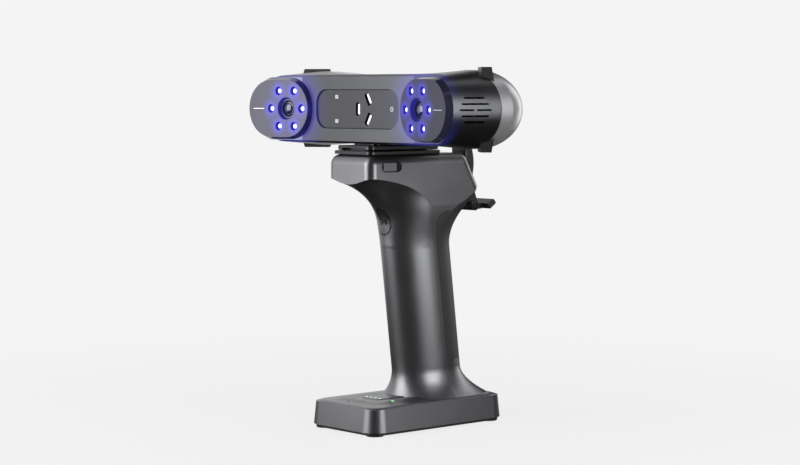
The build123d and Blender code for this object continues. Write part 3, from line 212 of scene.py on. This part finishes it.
floor_mix = floor_wire.node(
    "ShaderNodeMixShader", {}, i0=floor_share,
    i1=Wire(floor_tree, floor_paint.outputs[0]), i2=Wire(floor_tree, glow.outputs[0]),
)
floor_tree.links.new(floor_mix.outputs[0], floor_tree.nodes["Material Output"].inputs["Surface"])
floor_mesh.materials.append(floor_material)


def at(azimuth, distance, height):
    """A point of the studio at an azimuth seen from the middle of the scanner."""
    return Vector((cos(radians(azimuth)) * distance, sin(radians(azimuth)) * distance, height))


grip_height = 0.12


def soft_light(name, azimuth, distance, height, wide, tall, radiance):
    """A rectangular lamp that faces the grip, with its brightness as its surface shows it."""
    data = bpy.data.lights.new(name, "AREA")
    data.shape = "RECTANGLE"
    data.size = wide
    data.size_y = tall
    data.energy = radiance * pi * wide * tall
    lamp = put(name, data)
    lamp.location = at(azimuth, distance, height)
    towards_grip = Vector((0, 0, grip_height)) - lamp.location
    lamp.rotation_euler = towards_grip.to_track_quat("-Z", "Y").to_euler()


soft_light("key_light", azimuth=-109, distance=0.75, height=0.31, wide=0.57, tall=0.6, radiance=3.9)
soft_light("side_strip", azimuth=10, distance=0.75, height=0.31, wide=0.5, tall=0.6, radiance=3.9)
soft_light("rim_strip", azimuth=92, distance=0.75, height=0.31, wide=0.25, tall=0.6, radiance=1.4)
soft_light("top_light", azimuth=-110, distance=0.9, height=1.4, wide=0.8, tall=0.8, radiance=1.2)

tent_radius = 0.6
tent_top = 1.1
tent_foot = 0.0004
tent_arcs = ((-86, -8), (32, 80), (104, 131))
tent_steps = 12
tent_mesh = bpy.data.meshes.new("black_tent")
tent = bmesh.new()
for first, last in tent_arcs:
    rims = []
    for step in range(tent_steps + 1):
        azimuth = first + (last - first) * step / tent_steps
        rims.append([tent.verts.new(at(azimuth, tent_radius, height)) for height in (0, tent_top)])
    for left, right in zip(rims, rims[1:]):
        tent.faces.new((left[0], right[0], right[1], left[1]))
for height in (tent_foot, tent_top):
    tent.faces.new([tent.verts.new(at(azimuth, tent_radius, height)) for azimuth in range(0, 360, 10)])
tent.to_mesh(tent_mesh)
tent.free()
black_tent = put("black_tent", tent_mesh)
tent_cloth, tent_shader, _ = new_material("black_cloth")
tent_shader.inputs["Base Color"].default_value = (0.006, 0.006, 0.006, 1)
tent_shader.inputs["Roughness"].default_value = 1
tent_shader.inputs["Specular IOR Level"].default_value = 0
tent_mesh.materials.append(tent_cloth)
black_tent.visible_camera = False
black_tent.visible_diffuse = False
black_tent.visible_transmission = False
black_tent.visible_shadow = False

# ------------------------------------------------------------------ handle
# Two mouldings that make the base, the grip and the collar, joined down the middle and sprayed
# with a dark grey satin paint that holds a fine metallic fleck.

cloud_scale = 60
fleck_scale = 9000
peel_scale = 1400


def satin(name, colour, metallic, roughness, fleck=0.25, grain=0.00002, marks=None, shade=1.25):
    """Satin paint with a fine fleck, faint cloudiness and a slight orange-peel surface."""
    material, shader, start = new_material(name)
    clouds = start.noise(cloud_scale, 3)
    flecks = start.noise(fleck_scale, 2)
    share = (flecks - 0.5) * fleck * 2 + (clouds - 0.5) * 0.18 + 0.5
    dark = tuple(c / shade for c in colour)
    light = tuple(c * shade for c in colour)
    tone = share.mixed(dark, light)
    if marks:
        tone = marks(start, tone)
    feed(shader, tone, "Base Color")
    feed(shader, (clouds - 0.5) * 0.08 + (flecks - 0.5) * 0.08 + roughness, "Roughness")
    shader.inputs["Metallic"].default_value = metallic
    peel = start.noise(peel_scale, 3)
    bump = start.out("ShaderNodeBump", 0, {}, Height=peel, Distance=grain, Strength=0.5)
    feed(shader, bump, "Normal")
    return material


handle_paint = satin("handle_paint", (0.185, 0.187, 0.195), 0.93, 0.36)
dress(handle_paint, "handle_shell_left", "handle_shell_right")

# ------------------------------------------------------------------ grip pad
# A soft rubber pad over the back of the grip, moulded with a fine stipple. It is glued into a
# shallow recess, flush with the paint round it.

pad_rubber = satin("pad_rubber", (0.02, 0.02, 0.021), 0.0, 0.55, 0.2, 0.00006)
dress(pad_rubber, "grip_pad")

# ------------------------------------------------------------------ cells and boards in the handle
# Round lithium cells in printed sleeves fill the grip. The small circuit boards are green
# laminate with copper tracks, and they carry black switches under the buttons.

cell_sleeve = satin("cell_sleeve", (0.05, 0.12, 0.3), 0.0, 0.3)
dress(cell_sleeve, "battery_cells")


def copper_lines(start, tone):
    """Paler tracks and pads under the lacquer of a circuit board."""
    tracks = start.out("ShaderNodeTexVoronoi", 0, {"feature": "DISTANCE_TO_EDGE"}, Scale=420)
    return tracks.below(0.06, 0.02).mixed(tone, (0.12, 0.3, 0.16))


board_green = satin("board_green", (0.02, 0.1, 0.05), 0.0, 0.35, marks=copper_lines)
dress(
    board_green, "base_board", "radio_board", "scan_board", "main_board", "key_board",
    "ring_board_left", "ring_board_right", "camera_board_left", "camera_board_right",
)
switch_black = satin("switch_black", (0.03, 0.03, 0.032), 0.0, 0.4)
dress(switch_black, "scan_switch", "power_switch", "key_switches")

# ------------------------------------------------------------------ scan button
# An oval thumb button in the front of the grip, moulded and painted like the handle, with a play
# and pause sign cut into its face.

scan_sign_middle = 0.139
scan_half_wide = 0.0065
scan_half_tall = 0.009
sign_line = 0.00034
line_blur = 0.0001
# Black for the printed signs, also used as painted shade in the gaps round the buttons.
sign_and_gap_shade_black = (0.012, 0.012, 0.013)


def play_sign(x, rise):
    """Distance outside a triangle that points along +x, in metres."""
    back = 0.0019
    slope = 0.0009
    return (-back - x).over(x * 0.5 + rise.size() * 0.866 - slope)


def scan_sign(start, tone):
    x, _, z = start.place()
    rise = z - scan_sign_middle
    sign = play_sign(x + 0.0009, rise).size().below(sign_line, line_blur)
    for bar_x in (0.0022, 0.0033):
        sign = sign.over((x - bar_x).size().over(rise.size() - 0.0015).below(sign_line, line_blur))
    across = x * (1 / scan_half_wide)
    up = rise * (1 / scan_half_tall)
    # Painted shade: the outer border of the button is painted black for the shadow in the gap round
    # it.
    gap_shade = (-(across * across + up * up).root()).below(-0.955, 0.02)
    return sign.over(gap_shade).mixed(tone, sign_and_gap_shade_black)


scan_paint = satin("scan_paint", (0.17, 0.172, 0.18), 0.95, 0.28, marks=scan_sign)
dress(scan_paint, "scan_button")

# ------------------------------------------------------------------ base cover, feet and screws
# A black moulded plate closes the base from below. Four steel screws hold it and four round
# rubber feet are stuck under it. The same steel makes the other screws and the lock bolt.

plate_black = satin("plate_black", (0.014, 0.014, 0.015), 0.0, 0.45, 0.2, 0.00005)
dress(plate_black, "base_cover")
foot_rubber = satin("foot_rubber", (0.012, 0.012, 0.012), 0.0, 0.65, 0.2, 0.00006)
dress(foot_rubber, "base_feet")
steel = satin("steel", (0.45, 0.45, 0.46), 1.0, 0.28)
dress(steel, "base_screws", "case_screws", "bracket_screws", "mount_screw", "lock_bolt")

# ------------------------------------------------------------------ power button and base lights
# A round button with a ring-and-bar sign, a row of four charge lights and a green link light,
# all flush with the top of the base.

power_low, power_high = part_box("power_button")
power_middle_y = (power_low[1] + power_high[1]) / 2
power_ring = 0.0021
power_line = 0.00032
power_bar = 0.0016
power_bar_half = 0.0009
power_edge = 0.0047


def power_sign(start, tone):
    x, y, _ = start.place()
    forward = y - power_middle_y
    radius = (x * x + forward * forward).root()
    ring = (radius - power_ring).size().below(power_line, line_blur)
    gap = x.size().over(-forward).below(0.0007, line_blur)
    bar = x.size().over((forward - power_bar).size() - power_bar_half).below(power_line, line_blur)
    # Painted shade: past this radius the button is painted black for the shadow in the gap round it.
    edge_shade = (-radius).below(-power_edge, line_blur)
    return (ring * (1 - gap)).over(bar).over(edge_shade).mixed(tone, sign_and_gap_shade_black)


power_paint = satin("power_paint", (0.17, 0.172, 0.18), 0.95, 0.28, marks=power_sign)
dress(power_paint, "power_button")


def lit(name, colour, glow_colour, strength, *names):
    """A clear pipe with its light on and a little cloud in the plastic. On the emitters the glow is a
    painted highlight.
    """
    material, shader, start = new_material(name)
    cloud = start.noise(900, 2)
    feed(shader, cloud.mixed(tuple(c * 0.85 for c in colour), colour), "Base Color")
    feed(shader, cloud.mixed(tuple(c * 0.8 for c in glow_colour), glow_colour), "Emission Color")
    shader.inputs["Emission Strength"].default_value = strength
    shader.inputs["Roughness"].default_value = 0.2
    dress(material, *names)


lit("charge_glow", (0.7, 0.8, 0.72), (0.6, 0.85, 0.65), 0.9, "charge_lights")
lit("link_glow", (0.3, 0.8, 0.4), (0.12, 0.85, 0.3), 1.1, "link_light")

# ------------------------------------------------------------------ sockets
# Two small oval sockets, one in the back of the base for charging and one in the back of the
# head, each a drawn steel shell with a black tongue inside.

socket_steel = satin("socket_steel", (0.4, 0.4, 0.41), 1.0, 0.3)
dress(socket_steel, "charge_socket", "data_socket")

# ------------------------------------------------------------------ quick release
# A sliding button in the collar's side draws a sprung bolt, which frees the head's steel plate
# from the dovetail on top of the handle.

release_low, release_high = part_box("release_button")


def button_gap_shade(start, tone):
    """Painted shade of the gap round the sliding button, a dark band on the button's border."""
    _, y, z = start.place()
    half_tall = (release_high[2] - release_low[2]) / 2
    straight = (release_high[1] - release_low[1]) / 2 - half_tall
    along = ((y - (release_low[1] + release_high[1]) / 2).size() - straight).over(0)
    rise = z - (release_low[2] + release_high[2]) / 2
    gap_shade = (-(along * along + rise * rise).root()).below(-half_tall + 0.0005, line_blur)
    return gap_shade.mixed(tone, (0.008, 0.008, 0.009))


release_paint = satin("release_paint", (0.03, 0.031, 0.033), 0.95, 0.28, marks=button_gap_shade)
dress(release_paint, "release_button")
release_metal = satin("release_metal", (0.05, 0.05, 0.053), 0.9, 0.32)
dress(release_metal, "release_base", "release_plate")


def wound_wire(name, node, wire, turns, finish):
    """A coil of round wire with flat ground ends that fills the box of a CAD spring."""
    low, high = (Vector(corner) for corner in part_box(node))
    middle = (low + high) / 2
    coil_radius = (high.x - low.x) / 2 - wire / 2
    rings = []
    coil = bmesh.new()
    steps = turns * 20
    sides = 8
    for step in range(steps + 1):
        turn = 2 * pi * turns * step / steps
        height = low.z + wire / 2 + (high.z - low.z - wire) * step / steps
        outward = Vector((cos(turn), sin(turn), 0))
        core = Vector((middle.x, middle.y, height)) + outward * coil_radius
        ring = []
        for part in range(sides):
            around = 2 * pi * part / sides
            aside = outward * cos(around) + Vector((0, 0, 1)) * sin(around)
            ring.append(coil.verts.new(core + aside * wire / 2))
        rings.append(ring)
    for lower, upper in zip(rings, rings[1:]):
        for part in range(sides):
            beside = (part + 1) % sides
            face = coil.faces.new((lower[part], lower[beside], upper[beside], upper[part]))
            face.smooth = True
    coil.faces.new(list(reversed(rings[0])))
    coil.faces.new(rings[-1])
    mesh = bpy.data.meshes.new(name)
    coil.to_mesh(mesh)
    coil.free()
    mesh.materials.append(finish)
    spring = put(name, mesh)
    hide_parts(node)
    return spring, low, high


spring_steel = satin("spring_steel", (0.5, 0.5, 0.51), 1.0, 0.25)
lock_coil, coil_low, coil_high = wound_wire("lock_coil", "lock_spring", 0.0006, 3, spring_steel)
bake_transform(lock_coil)

# ------------------------------------------------------------------ front housing and bumpers
# The front half of the head, moulded and sprayed like the handle, with black corner bumpers that
# clip over its edges and a dark gasket line where it meets the back shell.

seam_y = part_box("back_shell")[0][1]
light_middle_z = 0.21485
lens_side = 0.067
lens_face_y = -0.05626
toe_in = radians(9.73)
spill_depth, spill_blur = 0.012, 0.01
gasket_half = 0.0004


def cover_axes(start):
    """Distance out from the lens axis, rise above it and depth behind the cover's face."""
    x, y, z = start.place()
    side = x.size() - lens_side
    ahead = y - lens_face_y
    return (
        side * cos(toe_in) - ahead * sin(toe_in),
        z - light_middle_z,
        side * sin(toe_in) + ahead * cos(toe_in),
    )


def light_spill(material, inner, outer, strength, colour=(0.05, 0.045, 0.4)):
    """Painted light: the blue light that the ring lights throw on what is round them, painted into the
    emission.
    """
    shader = material.node_tree.nodes["Principled BSDF"]
    start = Wire(material.node_tree, None)
    out, rise, depth = cover_axes(start)
    reach = (out * out + rise * rise).root()
    fade = reach.below((inner + outer) / 2, outer - inner) * depth.below(spill_depth, spill_blur)
    feed(shader, (fade * fade * strength).mixed((0, 0, 0), colour), "Emission Color")
    shader.inputs["Emission Strength"].default_value = 1


def gasket_line(start, tone):
    _, y, _ = start.place()
    return (y - seam_y).size().below(gasket_half, line_blur).mixed(tone, (0.006, 0.006, 0.007))


housing_paint = satin("housing_paint", (0.1, 0.102, 0.108), 0.95, 0.32, marks=gasket_line)
light_spill(housing_paint, inner=0.012, outer=0.044, strength=1.3)
dress(housing_paint, "front_housing")
bumper_black = satin("bumper_black", (0.022, 0.022, 0.024), 0.1, 0.4, 0.2, 0.00004)
dress(bumper_black, "bumpers")

# ------------------------------------------------------------------ back shell
# The rounded back half of the head, an aluminium skin screwed to the front housing. Its grain
# is brushed along the length of the head.


def brushed(start, tone):
    lines = start.noise(260, 4, stretch=(1, 30, 30))
    return lines.mixed((0.36, 0.36, 0.37), tone)


back_metal = satin("back_metal", (0.58, 0.58, 0.595), 0.7, 0.34, 0.1, marks=brushed, shade=1.1)
dress(back_metal, "back_shell")

# ------------------------------------------------------------------ camera covers and their lights
# Two toed-in face plates with glossy bevels. Six blue lights stand in a ring of holes round each
# lens, and a short white line on each plate marks the outer side.

light_ring = 0.0139
mark_middle = 0.0252
mark_half = 0.0049
mark_thin = 0.0047
halo_reach, halo_blur = 0.0048, 0.0075
wash_reach, wash_blur = 0.014, 0.016
hole_wall_depth, hole_wall_blur = 0.0005, 0.0006
holes_reach, holes_blur = 0.0185, 0.001
bevel_depth, bevel_blur = 0.0003, 0.0002


def light_distance(start):
    """Distance from the nearest of the six lights of a ring, measured across the plate."""
    out, rise, _ = cover_axes(start)
    radius_squared = out * out + rise * rise
    turn = rise.maths("ARCTAN2", rise, out)
    folded = turn.maths("PINGPONG", turn, pi / 6)
    near = folded.maths("COSINE", folded)
    return (radius_squared + light_ring**2 - radius_squared.root() * near * (2 * light_ring)).root()


def cover_marks(start, tone):
    out, rise, _ = cover_axes(start)
    line = (out - mark_middle).size().over(rise.size() + mark_thin).below(mark_half, line_blur)
    return line.mixed(tone, (0.72, 0.72, 0.76))


cover_paint = satin("cover_paint", (0.06, 0.059, 0.072), 0.75, 0.34, marks=cover_marks)
cover_shader = cover_paint.node_tree.nodes["Principled BSDF"]
cover_start = Wire(cover_paint.node_tree, None)
cover_out, cover_rise, cover_depth = cover_axes(cover_start)
# Painted light: the glow of the ring lights is painted into the cover's emission, as a halo round each
# light, a blue wash round the lens and blue on the walls of the holes.
halo = light_distance(cover_start).below(halo_reach, halo_blur)
lens_distance = (cover_out * cover_out + cover_rise * cover_rise).root()
wash = lens_distance.below(wash_reach, wash_blur)
hole_wall = (-cover_depth).below(-hole_wall_depth, hole_wall_blur)
inside_hole = hole_wall * lens_distance.below(holes_reach, holes_blur)
plate_glow = wash.mixed((0.004, 0.004, 0.02), (0.02, 0.016, 0.26))
ring_light = (halo * halo).mixed(plate_glow, (0.07, 0.06, 1.0))
feed(cover_shader, inside_hole.mixed(ring_light, (0.02, 0.02, 0.26)), "Emission Color")
cover_shader.inputs["Emission Strength"].default_value = 0.9
feed(cover_shader, (-cover_depth).below(-bevel_depth, bevel_blur) * -0.2 + 0.33, "Roughness")
dress(cover_paint, "camera_cover_left", "camera_cover_right")

light_material, light_shader, light_start = new_material("ring_glow")
core_radius = 0.0012
core = light_distance(light_start).below(core_radius, core_radius)
feed(light_shader, core.mixed((0.03, 0.03, 0.6), (1, 1, 1)), "Emission Color")
feed(light_shader, core.mixed((0.05, 0.05, 0.4), (0.9, 0.9, 1)), "Base Color")
light_shader.inputs["Emission Strength"].default_value = 2.2
light_shader.inputs["Roughness"].default_value = 0.1
dress(light_material, "ring_lights_left", "ring_lights_right")

barrel_black = satin("barrel_black", (0.02, 0.02, 0.05), 0.3, 0.25)
light_spill(barrel_black, inner=0.002, outer=0.011, strength=0.6, colour=(0.03, 0.03, 0.3))
dress(barrel_black, "lens_barrel_left", "lens_barrel_right")

lens_material, lens_shader, lens_start = new_material("lens_glass")
lens_out, lens_rise, _ = cover_axes(lens_start)
iris = (lens_out * lens_out + lens_rise * lens_rise).root()
coating_radius = 0.003
coating = iris.below(coating_radius, coating_radius)
feed(lens_shader, coating.mixed((0.008, 0.01, 0.06), (0.03, 0.035, 0.11)), "Base Color")
fine_rings = iris.maths("SINE", iris * 900)
feed(lens_shader, fine_rings * 0.015 + 0.04, "Roughness")
lens_shader.inputs["Coat Weight"].default_value = 1
lens_shader.inputs["Metallic"].default_value = 0.1
dress(lens_material, "lens_left", "lens_right")

dome_radius = 0.0041
dome_rise = 0.0012
dome_set_back = 0.0027
dome_rings = 12
dome_sides = 48
dome_ball = (dome_radius**2 + dome_rise**2) / (2 * dome_rise)
for side, hand in ((-1, "left"), (1, "right")):
    across = Vector((side * cos(toe_in), -sin(toe_in), 0))
    forward = Vector((-side * sin(toe_in), -cos(toe_in), 0))
    middle = Vector((side * lens_side, lens_face_y, light_middle_z)) - forward * dome_set_back
    glass = bmesh.new()
    rings = []
    for step in range(1, dome_rings + 1):
        reach = dome_radius * sin(pi / 2 * step / dome_rings)
        lift = (dome_ball**2 - reach**2) ** 0.5 - dome_ball + dome_rise
        ring = []
        for turn in range(dome_sides):
            around = 2 * pi * turn / dome_sides
            aside = across * (reach * cos(around)) + Vector((0, 0, reach * sin(around)))
            ring.append(glass.verts.new(middle + forward * lift + aside))
        rings.append(ring)
    crown = glass.verts.new(middle + forward * dome_rise)
    for turn in range(dome_sides):
        following = (turn + 1) % dome_sides
        glass.faces.new((crown, rings[0][turn], rings[0][following]))
        for inner, outer in zip(rings, rings[1:]):
            glass.faces.new((inner[turn], outer[turn], outer[following], inner[following]))
    glass.faces.new(rings[-1])
    bmesh.ops.recalc_face_normals(glass, faces=glass.faces)
    for face in glass.faces:
        face.smooth = len(face.verts) <= 4
    dome_mesh = bpy.data.meshes.new(f"lens_dome_{hand}")
    glass.to_mesh(dome_mesh)
    glass.free()
    dome_mesh.materials.append(lens_material)
    dome = put(f"lens_dome_{hand}", dome_mesh)
    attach(dome, "handle")

# ------------------------------------------------------------------ window panel
# The long panel between the cameras, painted a shade darker, with three slots for the pattern
# lights, two square fill lights and the small eye of the colour camera.

panel_low, panel_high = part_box("window_panel")
panel_face_y = panel_low[1]
panel_middle_z = (panel_low[2] + panel_high[2]) / 2
panel_half_x = (panel_high[0] - panel_low[0]) / 2
panel_half_z = (panel_high[2] - panel_low[2]) / 2
panel_corner = 0.0098
groove_width = 0.0004


def panel_recess_shade(start, tone):
    """Painted shade: black in the slots and holes behind the panel's face and in the groove round the
    panel.
    """
    x, y, z = start.place()
    behind = (-y).below(-panel_face_y - 0.0001, 0.00005)
    beside = (x.size() - panel_half_x + panel_corner).over(0)
    above = ((z - panel_middle_z).size() - panel_half_z + panel_corner).over(0)
    rounding = (beside * beside + above * above).root()
    edge_shade = (-rounding).below(-panel_corner + groove_width, line_blur)
    return behind.over(edge_shade).mixed(tone, (0.005, 0.005, 0.006))


panel_paint = satin("panel_paint", (0.06, 0.06, 0.065), 0.7, 0.4, marks=panel_recess_shade)
light_spill(panel_paint, inner=0.02, outer=0.046, strength=0.4)
dress(panel_paint, "window_panel")
board_black = satin("board_black", (0.006, 0.006, 0.007), 0.0, 0.4)
dress(board_black, "window_board")
# Painted highlight: the white glow of the emitters stands for the reflection in their windows, not
# light of their own.
lit("emitter_painted_glint", (0.85, 0.85, 0.87), (0.75, 0.75, 0.78), 0.9, "emitters")
lit("fill_white", (0.4, 0.4, 0.42), (0.3, 0.3, 0.32), 0.7, "fill_lights")

eye_low, eye_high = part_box("colour_camera")
eye_x = (eye_low[0] + eye_high[0]) / 2
eye_z = (eye_low[2] + eye_high[2]) / 2


def eye_ring(start, tone):
    x, _, z = start.place()
    aside = x - eye_x
    rise = z - eye_z
    radius = (aside * aside + rise * rise).root()
    return (radius - 0.00125).size().below(0.00055, 0.0002).mixed(tone, (0.5, 0.5, 0.53))


eye_glass = satin("eye_glass", (0.1, 0.1, 0.11), 0.2, 0.15, 0.1, marks=eye_ring)
dress(eye_glass, "colour_camera")

# ------------------------------------------------------------------ inside the head
# A die-cast chassis carries the black projector block behind the panel. Both only show through
# the gaps.

cast_metal = satin("cast_metal", (0.35, 0.35, 0.36), 0.9, 0.5)
dress(cast_metal, "chassis")
projector_black = satin("projector_black", (0.02, 0.02, 0.021), 0.1, 0.4)
dress(projector_black, "projector")

# ------------------------------------------------------------------ keys on the back
# Three round rubber keys for less, scan and more, moulded in black, with their signs printed
# in pale grey.

key_middle_z = 0.21485
key_line = 0.00028
key_apart = 0.014
key_sign_half = 0.0016


def key_signs(start, tone):
    x, _, z = start.place()
    rise = z - key_middle_z
    level = rise.size().below(key_line, line_blur)
    from_less = (x + key_apart).size()
    from_more = (x - key_apart).size()
    less = from_less.over(rise.size() + 0.0013).below(key_sign_half, line_blur)
    less = less * from_less.below(key_sign_half, line_blur) * level
    across = from_more.below(key_sign_half, line_blur) * level
    upright = from_more.below(key_line, line_blur) * rise.size().below(key_sign_half, line_blur)
    play = play_sign(-x, rise).size().below(key_line, line_blur)
    return less.over(across).over(upright).over(play).mixed(tone, (0.6, 0.6, 0.62))


key_paint = satin("key_paint", (0.05, 0.05, 0.054), 0.3, 0.4, marks=key_signs)
dress(key_paint, "scan_key", "plus_key", "minus_key")

# ------------------------------------------------------------------ phone clamp
# A black plastic clamp on the back of the collar: a bracket, a blackened steel hinge pin, and two
# jaws on a spine, with a coil spring that pulls the upper jaw down.

clamp_black = satin("clamp_black", (0.016, 0.016, 0.017), 0.0, 0.4, 0.2, 0.00004)
dress(clamp_black, "clamp_bracket", "clamp_spine", "lower_jaw", "upper_jaw")
pin_black = satin("pin_black", (0.03, 0.03, 0.03), 0.8, 0.35)
dress(pin_black, "hinge_pin")
jaw_coil, coil_low, coil_high = wound_wire("jaw_coil", "jaw_spring", 0.0005, 22, spring_steel)
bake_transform(jaw_coil)
